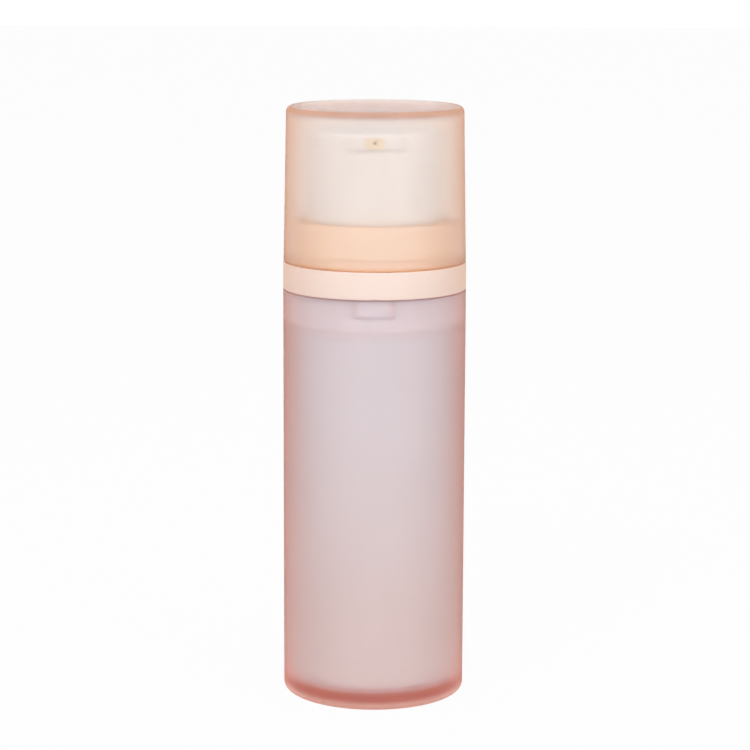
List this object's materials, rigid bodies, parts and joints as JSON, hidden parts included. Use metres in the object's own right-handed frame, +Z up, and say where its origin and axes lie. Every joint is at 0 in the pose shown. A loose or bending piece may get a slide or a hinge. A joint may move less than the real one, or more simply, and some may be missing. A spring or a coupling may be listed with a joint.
{
  "type": "airless pump bottle",
  "caption": "Frosted double-wall airless pump bottle with a lift-off overcap, a press-down dosing actuator and a follower piston.",
  "frame": {"origin": "centre of the bottle's foot ring, on the plane it stands on", "axes": "+Z up along the bottle's axis, -Y towards the front, where the spout and the collar's aiming nick are, +X to the right seen from the front"},
  "size_m": [0.045, 0.045, 0.1464],
  "materials": {
    "frosted_pink": "frosted translucent pink copolyester, lavender over the product bottle and salmon in the thick base",
    "frosted_peach": "frosted translucent peach copolyester",
    "pale_peach": "pale peach moulded plastic, satin gloss",
    "gloss_white": "white moulded polypropylene, satin gloss",
    "white_pp": "white moulded polypropylene",
    "natural_pp": "natural milky polypropylene",
    "pearl_pp": "milky polypropylene, satin",
    "soft_white_pe": "soft white polyethylene",
    "grey_seal": "pale grey sealing foam",
    "spout_tan": "tan moulded insert",
    "steel": "stainless steel"
  },
  "bodies": {
    "bottle": {"outer_bottle": "frosted_pink", "inner_bottle": "pearl_pp", "foot_disc": "pearl_pp", "collar": "pale_peach", "guide_sleeve": "white_pp", "pump_closure": "white_pp", "neck_gasket": "grey_seal", "neck_plug": "natural_pp", "pump_body": "natural_pp", "ball_cage": "natural_pp", "chaplet": "natural_pp", "return_spring": "steel"},
    "cap": {"overcap": "frosted_peach"},
    "stem": {"upper_stem": "white_pp", "lower_stem": "natural_pp"},
    "head": {"actuator": "gloss_white", "spout_insert": "spout_tan"},
    "seal": {"pump_piston": "soft_white_pe"},
    "follower": {"follower_piston": "soft_white_pe"},
    "ball": {"inlet_ball": "steel"}
  },
  "joints": [
    {"name": "cap_lift", "type": "slide", "parent": "bottle", "child": "cap", "axis": [0, 0, 1], "range_m": [0, 0.04]},
    {"name": "actuator_press", "type": "slide", "parent": "bottle", "child": "stem", "axis": [0, 0, -1], "range_m": [0, 0.0045], "stiffness_N_per_m": 1800, "springref_m": -0.0055, "deforming": ["return_spring"]},
    {"name": "actuator_turn", "type": "hinge", "parent": "stem", "child": "head", "pos_m": [0, 0, 0.125], "axis": [0, 0, 1], "continuous": true},
    {"name": "pump_piston_slip", "type": "slide", "parent": "stem", "child": "seal", "axis": [0, 0, 1], "range_m": [0, 0.0009]},
    {"name": "follower_rise", "type": "slide", "parent": "bottle", "child": "follower", "axis": [0, 0, 1], "range_m": [0, 0.0721]},
    {"name": "inlet_ball_lift", "type": "slide", "parent": "bottle", "child": "ball", "axis": [0, 0, 1], "range_m": [0, 0.0012]}
  ]
}
